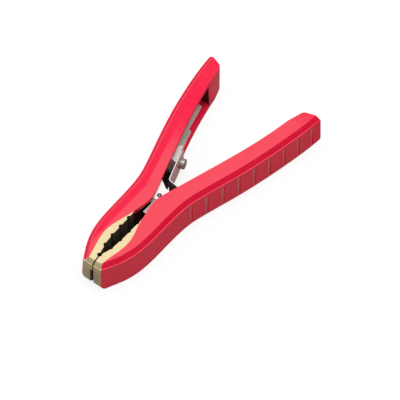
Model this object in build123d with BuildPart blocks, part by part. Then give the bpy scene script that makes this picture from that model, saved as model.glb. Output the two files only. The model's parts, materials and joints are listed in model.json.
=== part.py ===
from build123d import *
import math
import os

os.makedirs("parts", exist_ok=True)

# Electrode holder with two handles that cross-couple at one pivot, in millimetres.
# Origin: centre of the electrode seat between the jaw tips, half way up the jaws.
# +X runs back along the centre line to the handles, +Y to the lever, +Z along the pivot.
# Plan outlines are written for an arm on the +Y side; side = -1 mirrors them for the other arm.

# Overall sizes
half_height = 15.0
ledge_z = 11.5
ledge_step = 0.9
edge_chamfer = 3.4
nose_chamfer = 2.5
flare = 1.2
lever_foot_round = 4.5
fixed_foot_round = 2.2
end_foot_round = 5.0
nose_foot_round = 7.0
lever_nose_round = 9.5
nose_x = -10.1
pivot_x = 78.5
seat_radius = 2.0

# Plan outline of an arm: outer edge to where the two arms part, each arm's rear, and the inner edge
outer_front = [(-9.9, 9.2), (1, 15.2), (10.5, 19.3), (20, 21.9), (30, 23.3), (50, 24.0), (70, 24.4),
               (86, 26), (98, 29), (128, 38.2), (158, 46.3)]
lever_rear = [(188, 52.3), (212, 55.5), (220.3, 56.0)]
fixed_rear = [(188, 52.9), (212, 57.0), (222.6, 58.2)]
lever_end = (216.4, 43.9)
fixed_end = (219.2, 46.0)
inner_points = [(51, 5), (60, 3.1), (71, 2.2), (81.5, 4.8), (101, 11), (131, 20.5), (161, 29.4),
                (187, 35.6), (203, 38.6)]
end_width = 30.0
end_inner_corner = 5.0
end_inner_turn = 60.0

# Jaws: the parting line at the tips, the lands behind the seat, and the brass outline in the red
tip_line = [(nose_x, -0.7), (-8, -0.9), (-6, -0.9), (-3, -0.6), (0, 0)]
tip_gap = 0.6
lever_land = [(2, 0.4), (3.2, 1.1), (14.2, 3.6), (24, 4.2), (48, 4.4)]
fixed_land = [(2, 1.4), (7, 3.1), (12, 4.2), (23, 5), (48, 5.3)]
lever_inlay = [(51, 5), (38, 8.4), (30, 10.4), (21.8, 11.4), (10.3, 9.7), (-1, 6.7), (-7, 5.4), (-9.9, 9.2)]
fixed_inlay = [(51, 5), (38, 8), (30, 10.3), (21, 11.2), (7, 9.3), (-2, 7.7), (-7, 7.6), (-9.9, 9.2)]
notch_x = [10.85, 21.7, 32.55, 43.4]
notch_radius = 2.0
lever_notch_depth = 1.5
fixed_notch_depth = 0.7
tip_slot_width = 3.4
tip_slot_y = 0.1
tip_slot_top = 5.0
tip_slot_back = -3.6

# Depths below the outer edge of what stands along the inside of each handle
wall_depth = 3.2
inner_wall_thickness = 2.3
pocket_z = 11.5
pocket_end = 192.5
lever_web = (3.6, 5.4)
fixed_web = (7.0, 8.8)
bar_depth = (3.5, 6.5)
tray_skin = 1.2

# Frames: each pair of ears lies at |z| from low to high
lever_ear_z = (9.6, 11.4)
fixed_ear_z = (7.4, 9.2)
ear_radius = 8.6
ear_front_x = 73.6
pin_radius = 3.0
pin_clearance = 0.06
pin_neck_radius = 1.6
pin_nib_radius = 0.8
ear_recess_radius = 2.1
ear_recess_depth = 0.9
flange_end = 115.0
bush_outer_radius = 5.0
washer_outer_radius = 7.0

# Spring: a strip bent to a U, its base across the handles behind the pivot
spring_line = [(127.5, 14.56), (96.6, 4.3), (93.7, -17.9), (117, -25.05)]
spring_thickness = 0.9
spring_bend = 3.0
spring_half_height = 10.2

# Stop button on the spring's lever-side leg
button_x = 121.7
button_radius = 4.5
button_height = 4.7
button_shank_radius = 2.0
button_edge = 0.5

# Grip grooves on the outer sides
groove_x = [86.7 + 15.7 * i for i in range(9)]
groove_width = 2.3
groove_depth = 0.45
groove_top = 9.6

# Screws
cover_screw_radius = 1.5
cover_head_radius = 2.8
cover_head_height = 2.2
cover_recess_depth = 4.0
cover_screw_top = half_height - 1.2
jaw_screw_radius = 2.0
jaw_screw_x = (53.5, 61.5)
lever_cover_screws_at = [(14, 15.6), (102, 21)]
fixed_cover_screws_at = [(14, -15.6), (130, -27.7)]
boss_radius = 3.3

# Tangs behind the jaws, held in the frames by screws from above and below
lever_tang = [(28, 9.6), (28, 15.6), (46, 18.3), (64, 18.3), (64, 8.6), (53, 8.6), (44, 6)]
fixed_tang = [(28, 9.6), (28, 16.2), (47, 17.2), (48.6, 15), (64, 15), (64, 8.6), (53, 8.6), (44, 6)]
tang_clearance = 0.25
lever_jaw_screws_at = [(x, 13.5) for x in jaw_screw_x]
fixed_jaw_screws_at = [(x, -12.0) for x in jaw_screw_x]
jaw_pan_radius = 3.2
jaw_pan_height = 1.9
jaw_screw_grip = 6.5
jaw_head_radius = 3.6
jaw_head_height = 1.6
washer_thickness = 0.3

# Copper bar from the cable socket to the fixed jaw, and its screws
fixed_web_end = 126.0
bar_half_height = 5.0
bar_start = 27.0
bar_end = 148.0
conductor_screws_at = [32.0, 42.0]
conductor_screw_radius = 2.0
conductor_screw_grip = 5.0
conductor_screw_length = 5.8
conductor_head_radius = 3.1
conductor_head_height = 1.5
socket_block_screws_at = [138.0, 144.6]

# Rivets of the spring
spring_rivet_x = 107.0
spring_rivet_z = (-7.4, 7.4)
rivet_radius = 1.5
spring_rivet_head_radius = 2.4
rivet_head_height = 1.0
rivet_reach = 3.3

# Tray in the lever's open inner side, and the tongues under the covers' rear ends
tray_start = 115.2
tray_step_x = 160.0
tray_end = 187.0
tray_set_back = 0.8
tray_rear_set_back = 3.6
tongue_at = (207.0, 48.5)
tongue_length = 9.0
tongue_width = 5.0
tongue_depth = 2.2
tongue_clearance = 0.2

# Cable socket's block, and its set screws
socket_block_half_height = 6.0
socket_block_front = 134.6
socket_block_rear = 151.5
socket_screws_at = (11.0, 24.0)
set_screw_radius = 2.5
set_screw_length = 7.0
set_screw_access_radius = 3.0

# Seat that the spring's lever-side leg rests on
seat_start = 114.6
seat_end = 133.0
seat_rear_slant = 5.0
seat_half_height = 9.2
seat_skin = 1.2

# Cable socket, along the middle of the fixed handle's rear
socket_angle = -11.8
socket_mouth = (186.0, -43.0)
socket_radius = 5.4
socket_bore_radius = 3.3
socket_bore_depth = 30.0
socket_length = 36.0
bush_radius = 5.3
bush_bore_radius = 4.4
bush_length = 24.0
bush_start = 8.0


def outer_points(side):
    """Outer edge of the lever (side 1) or the fixed arm (side -1), both on the +Y side."""
    return outer_front + (lever_rear if side > 0 else fixed_rear)


def rail(x, depth, side):
    """Height of an arm's outer edge at x, less a depth measured square to the edge."""
    points = outer_points(side)
    for (xa, ya), (xb, yb) in zip(points, points[1:]):
        if x <= xb:
            break
    slope = (yb - ya) / (xb - xa)
    return ya + slope * (x - xa) - depth * math.hypot(1, slope)


def inner_edge(x):
    """Height of the inner edge behind the jaws at x."""
    for (xa, ya), (xb, yb) in zip(inner_points, inner_points[1:]):
        if x <= xb:
            break
    return ya + (yb - ya) * (x - xa) / (xb - xa)


def sided(points, side):
    """The same points on the +Y or -Y arm."""
    return [(x, side * y) for x, y in points]


def polygon_face(points, side):
    """Filled outline with straight sides."""
    with BuildSketch() as sketch:
        with BuildLine():
            Polyline(*sided(points, side), close=True)
        make_face()
    return sketch.sketch


def arm_face(side, inset, spread):
    """Plan outline of an arm on the +Y side, its outer edges pulled in by inset, the inner spread out.

    In front of the jaws' rear end it runs on past the centre line; jaw_gap_face cuts it back.
    """
    outer = [(x, y - inset) for x, y in outer_points(side)]
    outer[0] = (nose_x + inset, outer[0][1])
    inner = [(x, y - spread) for x, y in inner_points]
    with BuildSketch() as sketch:
        with BuildLine():
            edge = Spline(*outer)
            end = Line(edge @ 1, lever_end if side > 0 else fixed_end)
            inner_corner = JernArc(end @ 1, end % 1, end_inner_corner, -end_inner_turn)
            Line(inner_corner @ 1, inner[-1])
            Spline(*inner)
            Polyline(inner[0], (inner[0][0], -6), (nose_x + inset, -6), outer[0])
        make_face()
    return sketch.sketch


def jaw_gap_face(side):
    """What is cut from an arm to leave its jaw's tip and land."""
    tip = [(x, y * side + tip_gap) for x, y in tip_line]
    land = lever_land if side > 0 else fixed_land
    front = [(nose_x - 2 * flare, tip[0][1])] + tip + land + [inner_points[0]]
    return polygon_face(front + [(inner_points[0][0], -20), (nose_x - 2 * flare, -20)], side)


def inlay_face(side):
    """Everything on the jaw's side of the brass outline, out past the nose and the lands."""
    inlay = lever_inlay if side > 0 else fixed_inlay
    with BuildSketch() as sketch:
        with BuildLine():
            Spline(*sided(inlay[:-1], side))
            Polyline(*sided([inlay[-2], inlay[-1], (-20, 9.2), (-20, -6), (51, -6), inlay[0]], side))
        make_face()
    return sketch.sketch


def strip_face(side, depths, start, stop):
    """Strip that follows the outer edge between two depths, from start to stop along X."""
    stations = [start] + [x for x, _ in outer_points(side) if start < x < stop] + [stop]
    far = [(x, rail(x, depths[0], side)) for x in stations]
    near = [(x, rail(x, depths[1], side)) for x in stations]
    return polygon_face(far + near[::-1], side)


def level_edges(part, z):
    """Edges of the flat face at height z."""
    return part.edges().filter_by_position(Axis.Z, z - 0.01, z + 0.01)


def is_outer(edge):
    """Edge down the outside of an arm."""
    return edge.length > 200


def is_front(edge):
    """Edge across the nose."""
    return edge.length > 3.5 and abs((edge @ 0.5).Y) < 12 and (edge @ 0.5).X < nose_x + 4.5


def end_plane(side):
    """Upright plane along an arm, at the foot of its end face."""
    corner = outer_points(side)[-1]
    inner = lever_end if side > 0 else fixed_end
    outward = Vector(corner[1] - inner[1], inner[0] - corner[0], 0).normalized()
    return Plane(Vector(corner[0], corner[1], -half_height), x_dir=outward, z_dir=(outward.Y, -outward.X, 0))


def nose_plane():
    """Upright plane along the jaws, at the foot of the nose, facing +Y."""
    return Plane(Vector(nose_x - flare, 0, -half_height), x_dir=(-1, 0, 0), z_dir=(0, 1, 0))


def lever_nose_plane():
    """Upright plane square to the lever's outer edge at the nose, at its foot, facing back along it."""
    (xa, ya), (xb, yb) = outer_front[0], outer_front[1]
    outward = Vector(ya - yb, xb - xa, 0).normalized()
    return Plane(Vector(xa, ya + flare, -half_height), x_dir=outward, z_dir=(outward.Y, -outward.X, 0))


def corner_face(radius):
    """What is cut from an arm's lower front or rear corner to round it."""
    with BuildSketch() as sketch:
        with Locations((-radius, radius)):
            Rectangle(2 * radius, 2 * radius, align=(Align.MIN, Align.MAX))
            Circle(radius, mode=Mode.SUBTRACT)
    return sketch.sketch


def arm_block(side):
    """Solid arm on the +Y side: flared towards its foot, with a ledge and a chamfer on top."""
    with BuildPart() as block:
        with BuildSketch(Plane.XY.offset(ledge_z)):
            add(arm_face(side, 0, 0))
        with BuildSketch(Plane.XY.offset(-half_height)):
            add(arm_face(side, -flare, flare))
        loft(ruled=True)
        foot = [e for e in level_edges(block.part, -half_height) if is_outer(e)]
        fillet(foot, lever_foot_round if side > 0 else fixed_foot_round)
        with BuildSketch(Plane.XY.offset(ledge_z)):
            add(arm_face(side, ledge_step, 0))
        extrude(amount=half_height - ledge_z)
        chamfer([e for e in level_edges(block.part, half_height) if is_outer(e)], edge_chamfer)
        chamfer([e for e in level_edges(block.part, half_height) if is_front(e)], nose_chamfer)
        with BuildSketch(end_plane(side)):
            add(corner_face(end_foot_round))
        extrude(amount=end_width, both=True, mode=Mode.SUBTRACT)
        with BuildSketch(nose_plane()):
            add(corner_face(nose_foot_round))
        extrude(amount=end_width, both=True, mode=Mode.SUBTRACT)
        if side > 0:
            with BuildSketch(lever_nose_plane()):
                add(corner_face(lever_nose_round))
            extrude(amount=end_width, both=True, mode=Mode.SUBTRACT)
    return block.part


def grip_grooves(side):
    """Sketch of the grooves in the outer side, each square to the edge."""
    with BuildSketch() as sketch:
        for x in groove_x:
            turn = math.degrees(math.atan2(rail(x + 1, 0, side) - rail(x - 1, 0, side), 2))
            with Locations(Location((x, side * (rail(x, 0, side) + 2)), side * turn)):
                Rectangle(groove_width, 2 * (2 + groove_depth))
    return sketch.sketch


def pocket_face(side, depth):
    """Hollow of a handle, open towards the other arm."""
    stations = [44, 50, 58, 70, 86, 98, 128, 158, 188]
    far = [(x, rail(x, depth, side)) for x in stations]
    near = [(pocket_end, rail(pocket_end, depth, side)), (pocket_end, 0), (58, 0), (58, 5.6), (51, 7.2)]
    near += [(44, 9.2)]
    return polygon_face(far + near, side)


def inner_wall_face():
    """Plan of the fixed handle's inner wall, run out past its inner edge."""
    near = [(x, inner_edge(x) - 2) for x in (101, 131, 161, 187)]
    far = [(x, inner_edge(x) + inner_wall_thickness) for x in (187, 161, 131, 101)]
    return polygon_face(near + [(192, 34), (192, 36.6)] + far, -1)


def lever_ear():
    """Outer ear plate, round the pivot on the far side, square in front."""
    front_y = -math.sqrt(ear_radius**2 - (pivot_x - ear_front_x) ** 2)
    diagonal = ear_radius * math.sqrt(0.5)
    with BuildSketch() as sketch:
        with BuildLine():
            Line((ear_front_x, 3.6), (ear_front_x, front_y))
            ThreePointArc((ear_front_x, front_y), (pivot_x + diagonal, -diagonal), (pivot_x + ear_radius, 0))
            Polyline((pivot_x + ear_radius, 0), (93, 9.2), (93, 15), (ear_front_x, 15), (ear_front_x, 3.6))
        make_face()
    return sketch.sketch


def lever_flange():
    """Flange of the lever's channel, from the jaw's tang to just ahead of the tray."""
    edge = [(58.4, 4.3), (60, 3.9), (71, 3), (81.5, 5.6), (101, 11.8)]
    edge += [(flange_end, inner_edge(flange_end) + 0.8)]
    with BuildSketch() as sketch:
        add(polygon_face([(50, 8.4), (58.4, 8.4)] + edge + [(flange_end, 20), (50, 20)], 1))
        add(strip_face(1, (lever_web[0], 12), 50, flange_end))
        add(lever_ear())
    return sketch.sketch


def fixed_flange():
    """Flange and ear of the fixed arm's channel; its front part reaches over the centre line."""
    edge = [(50, 8.4), (58.4, 8.4), (58.4, -1.6), (80, -1.6), (90, 7.7), (92, 8.6)]
    with BuildSketch() as sketch:
        add(polygon_face(edge + [(92, 14), (50, 14)], -1))
        add(strip_face(-1, (fixed_web[0], 14), 50, 92))
        with Locations((pivot_x, 0)):
            Circle(ear_radius)
    return sketch.sketch


def spring_face():
    """Bent centre line of the spring, thickened."""
    with BuildSketch() as sketch:
        with BuildLine() as line:
            FilletPolyline(*spring_line, radius=spring_bend)
        trace(line.line, line_width=spring_thickness)
    return sketch.sketch


def leg_plane(x, lift):
    """Plane square to the spring's lever-side leg at x, lifted off its middle by lift."""
    (x1, y1), (x0, y0) = spring_line[0], spring_line[1]
    t = (x - x0) / (x1 - x0)
    along = Vector(x1 - x0, y1 - y0, 0).normalized()
    out = Vector(along.Y, -along.X, 0)
    return Plane(Vector(x, y0 + t * (y1 - y0), 0) + out * lift, x_dir=along, z_dir=out)


def socket_plane(distance):
    """Plane across the cable's axis, a distance behind the socket's mouth."""
    direction = Vector(1, 0, 0).rotate(Axis.Z, socket_angle)
    return Plane(Vector(socket_mouth[0], socket_mouth[1], 0) + direction * distance,
                 x_dir=(0, 0, 1), z_dir=direction)


def screw_sketch(points, radius):
    """Round sections at the given points."""
    with BuildSketch() as sketch:
        with Locations(*points):
            Circle(radius)
    return sketch.sketch


def land_height(land, x):
    """Height of a jaw's land at x."""
    for (xa, ya), (xb, yb) in zip(land, land[1:]):
        if x <= xb:
            break
    return ya + (yb - ya) * (x - xa) / (xb - xa)


def notches_at(land, depth, side):
    """Centres of the notches cut to a depth in a jaw's land."""
    return sided([(x, land_height(land, x) + depth - notch_radius) for x in notch_x], side)


def tip_slot():
    """Plan of the upright slot in the jaws' front."""
    with BuildSketch() as sketch:
        with Locations(((nose_x + tip_slot_back) / 2 - flare, tip_slot_y)):
            Rectangle(tip_slot_back - nose_x + 2 * flare, tip_slot_width)
    return sketch.sketch


def bar_plane(x, depth):
    """Plane parallel to the fixed arm's outer edge at x, at a depth below it, facing inwards."""
    slope = (rail(x + 1, 0, -1) - rail(x - 1, 0, -1)) / 2
    inward = Vector(slope, 1, 0).normalized()
    return Plane(Vector(x, -rail(x, 0, -1), 0) + inward * depth, x_dir=(0, 0, 1), z_dir=inward)


def fixed_leg_plane(x, z):
    """Plane on the inner face of the spring's fixed-side leg at x and z, facing the frame's web."""
    (x0, y0), (x1, y1) = spring_line[2], spring_line[3]
    along = Vector(x1 - x0, y1 - y0, 0).normalized()
    out = Vector(along.Y, -along.X, 0)
    middle = Vector(x, y0 + (y1 - y0) * (x - x0) / (x1 - x0), z)
    return Plane(middle - out * (spring_thickness / 2), x_dir=along, z_dir=out)


def tray_floor():
    """Plan of the tray, set back from the handle's inner edge and narrower at its rear."""
    edge = [(x, inner_edge(x) + tray_set_back) for x in (tray_start, 131, tray_step_x)]
    edge += [(x, inner_edge(x) + tray_rear_set_back) for x in (tray_step_x + 1.5, tray_end)]
    far = [(x, rail(x, lever_web[1] + 0.3, 1)) for x in (tray_end, 158, 128, tray_start)]
    return polygon_face(edge + far, 1)


def tongue_face(side, clearance):
    """Plan of the tongue under a cover's rear end, which locates it in the body."""
    turn = side * math.degrees(math.atan2(rail(210, 0, side) - rail(200, 0, side), 10))
    with BuildSketch() as sketch:
        with Locations(Location((tongue_at[0], side * tongue_at[1]), turn)):
            Rectangle(tongue_length + 2 * clearance, tongue_width + 2 * clearance)
    return sketch.sketch


def socket_screw_plane(distance):
    """Plane under the cable's axis, a distance in front of the socket's mouth, facing up."""
    direction = Vector(1, 0, 0).rotate(Axis.Z, socket_angle)
    middle = Vector(socket_mouth[0], socket_mouth[1], 0) - direction * distance
    return Plane(middle - Vector(0, 0, socket_bore_radius + 0.1), x_dir=(1, 0, 0), z_dir=(0, 0, 1))


def seat_face():
    """Plan of the spring seat's flanges, from the leg's back to the tray's web."""
    near = [(x, leg_height(x) + spring_thickness / 2 + 0.1) for x in (seat_end, seat_start)]
    web = lever_web[1] + tray_skin + 0.25
    far = [(x, rail(x, web, 1)) for x in (seat_start + 3, seat_start + seat_rear_slant)]
    return polygon_face(near + far, 1)


def seat_hollow():
    """Plan of what is cut from between the seat's flanges, leaving its wall behind the leg."""
    rear = seat_end + 9
    front = seat_start - 5
    near = [(x, leg_height(x) + spring_thickness / 2 + seat_skin + 0.25) for x in (front, rear)]
    far = [(x, rail(x, lever_web[1], 1)) for x in (rear, front)]
    return polygon_face(near + far, 1)


def leg_height(x):
    """Height of the middle of the spring's lever-side leg at x."""
    (x1, y1), (x0, y0) = spring_line[0], spring_line[1]
    return y0 + (y1 - y0) * (x - x0) / (x1 - x0)


with BuildPart() as lever_block:
    add(arm_block(1))
    with BuildSketch(Plane.XY.offset(-half_height)):
        add(jaw_gap_face(1))
    extrude(amount=2 * half_height, mode=Mode.SUBTRACT)

with BuildPart() as fixed_block:
    add(mirror(arm_block(-1), about=Plane.XZ, mode=Mode.PRIVATE))
    with BuildSketch(Plane.XY.offset(-half_height)):
        add(jaw_gap_face(-1))
    extrude(amount=2 * half_height, mode=Mode.SUBTRACT)

# ---------------------------------------------------------------- red mouldings, lever arm
with BuildPart() as lever_body:
    add(lever_block.part)
    with BuildSketch(Plane.XY.offset(-half_height)):
        add(inlay_face(1))
    extrude(amount=2 * half_height, mode=Mode.SUBTRACT)
    with BuildSketch(Plane.XY.offset(ledge_z)):
        Rectangle(600, 200)
    extrude(amount=10, mode=Mode.SUBTRACT)
    with BuildSketch(Plane.XY.offset(-pocket_z)):
        add(pocket_face(1, wall_depth))
        add(screw_sketch(lever_cover_screws_at[1:], boss_radius), mode=Mode.SUBTRACT)
    extrude(amount=2 * pocket_z, mode=Mode.SUBTRACT)
    with BuildSketch(Plane.XY.offset(-lever_ear_z[0] - tang_clearance)):
        add(polygon_face(lever_tang, 1))
        offset(amount=tang_clearance)
    extrude(amount=ledge_z + lever_ear_z[0] + tang_clearance, mode=Mode.SUBTRACT)
    with BuildSketch(Plane.XY.offset(-pocket_z - 0.5)):
        add(grip_grooves(1))
    extrude(amount=pocket_z + 0.5 + groove_top, mode=Mode.SUBTRACT)
    with BuildSketch(Plane.XY.offset(-half_height)):
        add(screw_sketch(lever_cover_screws_at, cover_screw_radius + 0.1))
    extrude(amount=2 * half_height, mode=Mode.SUBTRACT)
    with BuildSketch(Plane.XY.offset(-half_height)):
        add(screw_sketch(lever_cover_screws_at, cover_head_radius + 0.2))
    extrude(amount=cover_recess_depth, mode=Mode.SUBTRACT)
    with BuildSketch(Plane.XY.offset(ledge_z)):
        add(tongue_face(1, tongue_clearance))
    extrude(amount=-tongue_depth - tongue_clearance, mode=Mode.SUBTRACT)
lever_body.part.label = "lever_body"
export_step(lever_body.part, "parts/lever_body.step")

with BuildPart() as lever_cover:
    add(lever_block.part)
    with BuildSketch(Plane.XY.offset(-half_height)):
        add(inlay_face(1))
    extrude(amount=2 * half_height, mode=Mode.SUBTRACT)
    with BuildSketch(Plane.XY.offset(ledge_z)):
        Rectangle(600, 200)
    extrude(amount=-40, mode=Mode.SUBTRACT)
    with BuildSketch(Plane.XY.offset(ledge_z)):
        add(screw_sketch(lever_cover_screws_at, cover_screw_radius))
    extrude(amount=cover_screw_top - ledge_z, mode=Mode.SUBTRACT)
    with BuildSketch(Plane.XY.offset(ledge_z)):
        add(tongue_face(1, 0))
    extrude(amount=-tongue_depth)
lever_cover.part.label = "lever_cover"
export_step(lever_cover.part, "parts/lever_cover.step")

# ---------------------------------------------------------------- red mouldings, fixed arm
with BuildPart() as fixed_body:
    add(fixed_block.part)
    with BuildSketch(Plane.XY.offset(-half_height)):
        add(inlay_face(-1))
    extrude(amount=2 * half_height, mode=Mode.SUBTRACT)
    with BuildSketch(Plane.XY.offset(ledge_z)):
        Rectangle(600, 200)
    extrude(amount=10, mode=Mode.SUBTRACT)
    with BuildSketch(Plane.XY.offset(-pocket_z)):
        add(pocket_face(-1, wall_depth))
        add(inner_wall_face(), mode=Mode.SUBTRACT)
        add(screw_sketch(fixed_cover_screws_at[1:], boss_radius), mode=Mode.SUBTRACT)
    extrude(amount=2 * pocket_z, mode=Mode.SUBTRACT)
    with BuildSketch(Plane.XY.offset(-fixed_ear_z[0] - tang_clearance)):
        add(polygon_face(fixed_tang, -1))
        offset(amount=tang_clearance)
        add(strip_face(-1, (wall_depth, 8), 26, 50))
    extrude(amount=ledge_z + fixed_ear_z[0] + tang_clearance, mode=Mode.SUBTRACT)
    with BuildSketch(socket_plane(0)):
        Circle(bush_radius)
    extrude(amount=60, mode=Mode.SUBTRACT)
    with BuildSketch(socket_plane(0.5)):
        Circle(socket_radius + 0.1)
    extrude(amount=-socket_length - 1, mode=Mode.SUBTRACT)
    with BuildSketch(Plane.XY.offset(-pocket_z - 0.5)):
        add(grip_grooves(-1))
    extrude(amount=pocket_z + 0.5 + groove_top, mode=Mode.SUBTRACT)
    with BuildSketch(Plane.XY.offset(-half_height)):
        add(screw_sketch(fixed_cover_screws_at, cover_screw_radius + 0.1))
    extrude(amount=2 * half_height, mode=Mode.SUBTRACT)
    with BuildSketch(Plane.XY.offset(-half_height)):
        add(screw_sketch(fixed_cover_screws_at, cover_head_radius + 0.2))
    extrude(amount=cover_recess_depth, mode=Mode.SUBTRACT)
    with BuildSketch(Plane.XY.offset(ledge_z)):
        add(tongue_face(-1, tongue_clearance))
    extrude(amount=-tongue_depth - tongue_clearance, mode=Mode.SUBTRACT)
    for x in socket_screws_at:
        with BuildSketch(socket_screw_plane(x)):
            Circle(set_screw_access_radius)
        extrude(amount=-20, mode=Mode.SUBTRACT)
fixed_body.part.label = "fixed_body"
export_step(fixed_body.part, "parts/fixed_body.step")

with BuildPart() as fixed_cover:
    add(fixed_block.part)
    with BuildSketch(Plane.XY.offset(-half_height)):
        add(inlay_face(-1))
    extrude(amount=2 * half_height, mode=Mode.SUBTRACT)
    with BuildSketch(Plane.XY.offset(ledge_z)):
        Rectangle(600, 200)
    extrude(amount=-40, mode=Mode.SUBTRACT)
    with BuildSketch(Plane.XY.offset(ledge_z)):
        add(screw_sketch(fixed_cover_screws_at, cover_screw_radius))
    extrude(amount=cover_screw_top - ledge_z, mode=Mode.SUBTRACT)
    with BuildSketch(Plane.XY.offset(ledge_z)):
        add(tongue_face(-1, 0))
    extrude(amount=-tongue_depth)
fixed_cover.part.label = "fixed_cover"
export_step(fixed_cover.part, "parts/fixed_cover.step")

# ---------------------------------------------------------------- brass jaws
with BuildPart() as lever_jaw:
    add(lever_block.part)
    with BuildSketch(Plane.XY.offset(-half_height)):
        add(inlay_face(1))
    extrude(amount=2 * half_height, mode=Mode.INTERSECT)
    with BuildSketch(Plane.XY.offset(-lever_ear_z[0])):
        add(polygon_face(lever_tang, 1))
    extrude(amount=2 * lever_ear_z[0])
    with BuildSketch(Plane.XY.offset(-half_height)):
        with Locations((0, 0)):
            Circle(seat_radius)
        with Locations(*notches_at(lever_land, lever_notch_depth, 1)):
            Circle(notch_radius)
    extrude(amount=2 * half_height, mode=Mode.SUBTRACT)
    with BuildSketch(Plane.XY.offset(tip_slot_top)):
        add(tip_slot())
    extrude(amount=-40, mode=Mode.SUBTRACT)
    with BuildSketch(Plane.XY.offset(lever_ear_z[0])):
        add(screw_sketch(lever_jaw_screws_at, jaw_screw_radius))
    extrude(amount=-jaw_screw_grip, mode=Mode.SUBTRACT)
    with BuildSketch(Plane.XY.offset(-lever_ear_z[0])):
        add(screw_sketch(lever_jaw_screws_at, jaw_screw_radius))
    extrude(amount=jaw_screw_grip, mode=Mode.SUBTRACT)
lever_jaw.part.label = "lever_jaw"
export_step(lever_jaw.part, "parts/lever_jaw.step")

with BuildPart() as fixed_jaw:
    add(fixed_block.part)
    with BuildSketch(Plane.XY.offset(-half_height)):
        add(inlay_face(-1))
    extrude(amount=2 * half_height, mode=Mode.INTERSECT)
    with BuildSketch(Plane.XY.offset(-fixed_ear_z[0])):
        add(polygon_face(fixed_tang, -1))
    extrude(amount=2 * fixed_ear_z[0])
    with BuildSketch(Plane.XY.offset(-half_height)):
        with Locations((0, 0)):
            Circle(seat_radius)
        with Locations(*notches_at(fixed_land, fixed_notch_depth, -1)):
            Circle(notch_radius)
    extrude(amount=2 * half_height, mode=Mode.SUBTRACT)
    with BuildSketch(Plane.XY.offset(tip_slot_top)):
        add(tip_slot())
    extrude(amount=-40, mode=Mode.SUBTRACT)
    with BuildSketch(Plane.XY.offset(fixed_ear_z[0])):
        add(screw_sketch(fixed_jaw_screws_at, jaw_screw_radius))
    extrude(amount=-jaw_screw_grip, mode=Mode.SUBTRACT)
    with BuildSketch(Plane.XY.offset(-fixed_ear_z[0])):
        add(screw_sketch(fixed_jaw_screws_at, jaw_screw_radius))
    extrude(amount=jaw_screw_grip, mode=Mode.SUBTRACT)
    for x in conductor_screws_at:
        with BuildSketch(bar_plane(x, bar_depth[1])):
            Circle(conductor_screw_radius)
        extrude(amount=conductor_screw_grip, mode=Mode.SUBTRACT)
fixed_jaw.part.label = "fixed_jaw"
export_step(fixed_jaw.part, "parts/fixed_jaw.step")

# ---------------------------------------------------------------- frames and pivot
with BuildPart() as lever_frame:
    for sign in (1, -1):
        with BuildSketch(Plane.XY.offset(sign * lever_ear_z[0])):
            add(lever_flange())
            with Locations((pivot_x, 0)):
                Circle(pin_neck_radius, mode=Mode.SUBTRACT)
            add(screw_sketch(lever_cover_screws_at[1:], boss_radius + 0.4), mode=Mode.SUBTRACT)
            add(screw_sketch(lever_jaw_screws_at, jaw_screw_radius), mode=Mode.SUBTRACT)
        extrude(amount=sign * (lever_ear_z[1] - lever_ear_z[0]))
        with BuildSketch(Plane.XY.offset(sign * lever_ear_z[1])):
            with Locations((pivot_x, 0)):
                Circle(ear_recess_radius)
        extrude(amount=-sign * ear_recess_depth, mode=Mode.SUBTRACT)
        for x, y in lever_jaw_screws_at:
            with BuildSketch(Plane.XY.offset(sign * lever_ear_z[1])):
                with Locations((x, y)):
                    Circle(jaw_head_radius)
            with BuildSketch(Plane.XY.offset(sign * (lever_ear_z[1] - jaw_head_height))):
                with Locations((x, y)):
                    Circle(jaw_screw_radius)
            loft(mode=Mode.SUBTRACT)
    with BuildSketch(Plane.XY.offset(-lever_ear_z[1])):
        add(strip_face(1, lever_web, 50, 187))
    extrude(amount=2 * lever_ear_z[1])
lever_frame.part.label = "lever_frame"
export_step(lever_frame.part, "parts/lever_frame.step")

with BuildPart() as fixed_frame:
    for sign in (1, -1):
        with BuildSketch(Plane.XY.offset(sign * fixed_ear_z[0])):
            add(fixed_flange())
            with Locations((pivot_x, 0)):
                Circle(pin_radius + pin_clearance, mode=Mode.SUBTRACT)
            add(screw_sketch(fixed_jaw_screws_at, jaw_screw_radius), mode=Mode.SUBTRACT)
        extrude(amount=sign * (fixed_ear_z[1] - fixed_ear_z[0]))
    with BuildSketch(Plane.XY.offset(-fixed_ear_z[1])):
        add(strip_face(-1, fixed_web, 50, fixed_web_end))
    extrude(amount=2 * fixed_ear_z[1])
    for z in spring_rivet_z:
        with BuildSketch(fixed_leg_plane(spring_rivet_x, z)):
            Circle(rivet_radius)
        extrude(amount=6, both=True, mode=Mode.SUBTRACT)
fixed_frame.part.label = "fixed_frame"
export_step(fixed_frame.part, "parts/fixed_frame.step")

with BuildPart() as pivot_pin:
    with Locations((pivot_x, 0, 0)):
        Cylinder(pin_radius, 2 * lever_ear_z[0])
        Cylinder(pin_neck_radius, 2 * (lever_ear_z[1] - ear_recess_depth))
    for sign in (1, -1):
        with BuildSketch(Plane.XY.offset(sign * (lever_ear_z[1] - ear_recess_depth))):
            with Locations((pivot_x, 0)):
                Circle(pin_nib_radius)
        extrude(amount=sign * ear_recess_depth)
pivot_pin.part.label = "pivot_pin"
export_step(pivot_pin.part, "parts/pivot_pin.step")

with BuildPart() as pivot_bush:
    with Locations((pivot_x, 0, 0)):
        Cylinder(bush_outer_radius, 2 * fixed_ear_z[0])
        Cylinder(pin_radius + pin_clearance, 2 * fixed_ear_z[0], mode=Mode.SUBTRACT)
pivot_bush.part.label = "pivot_bush"
export_step(pivot_bush.part, "parts/pivot_bush.step")

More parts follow.
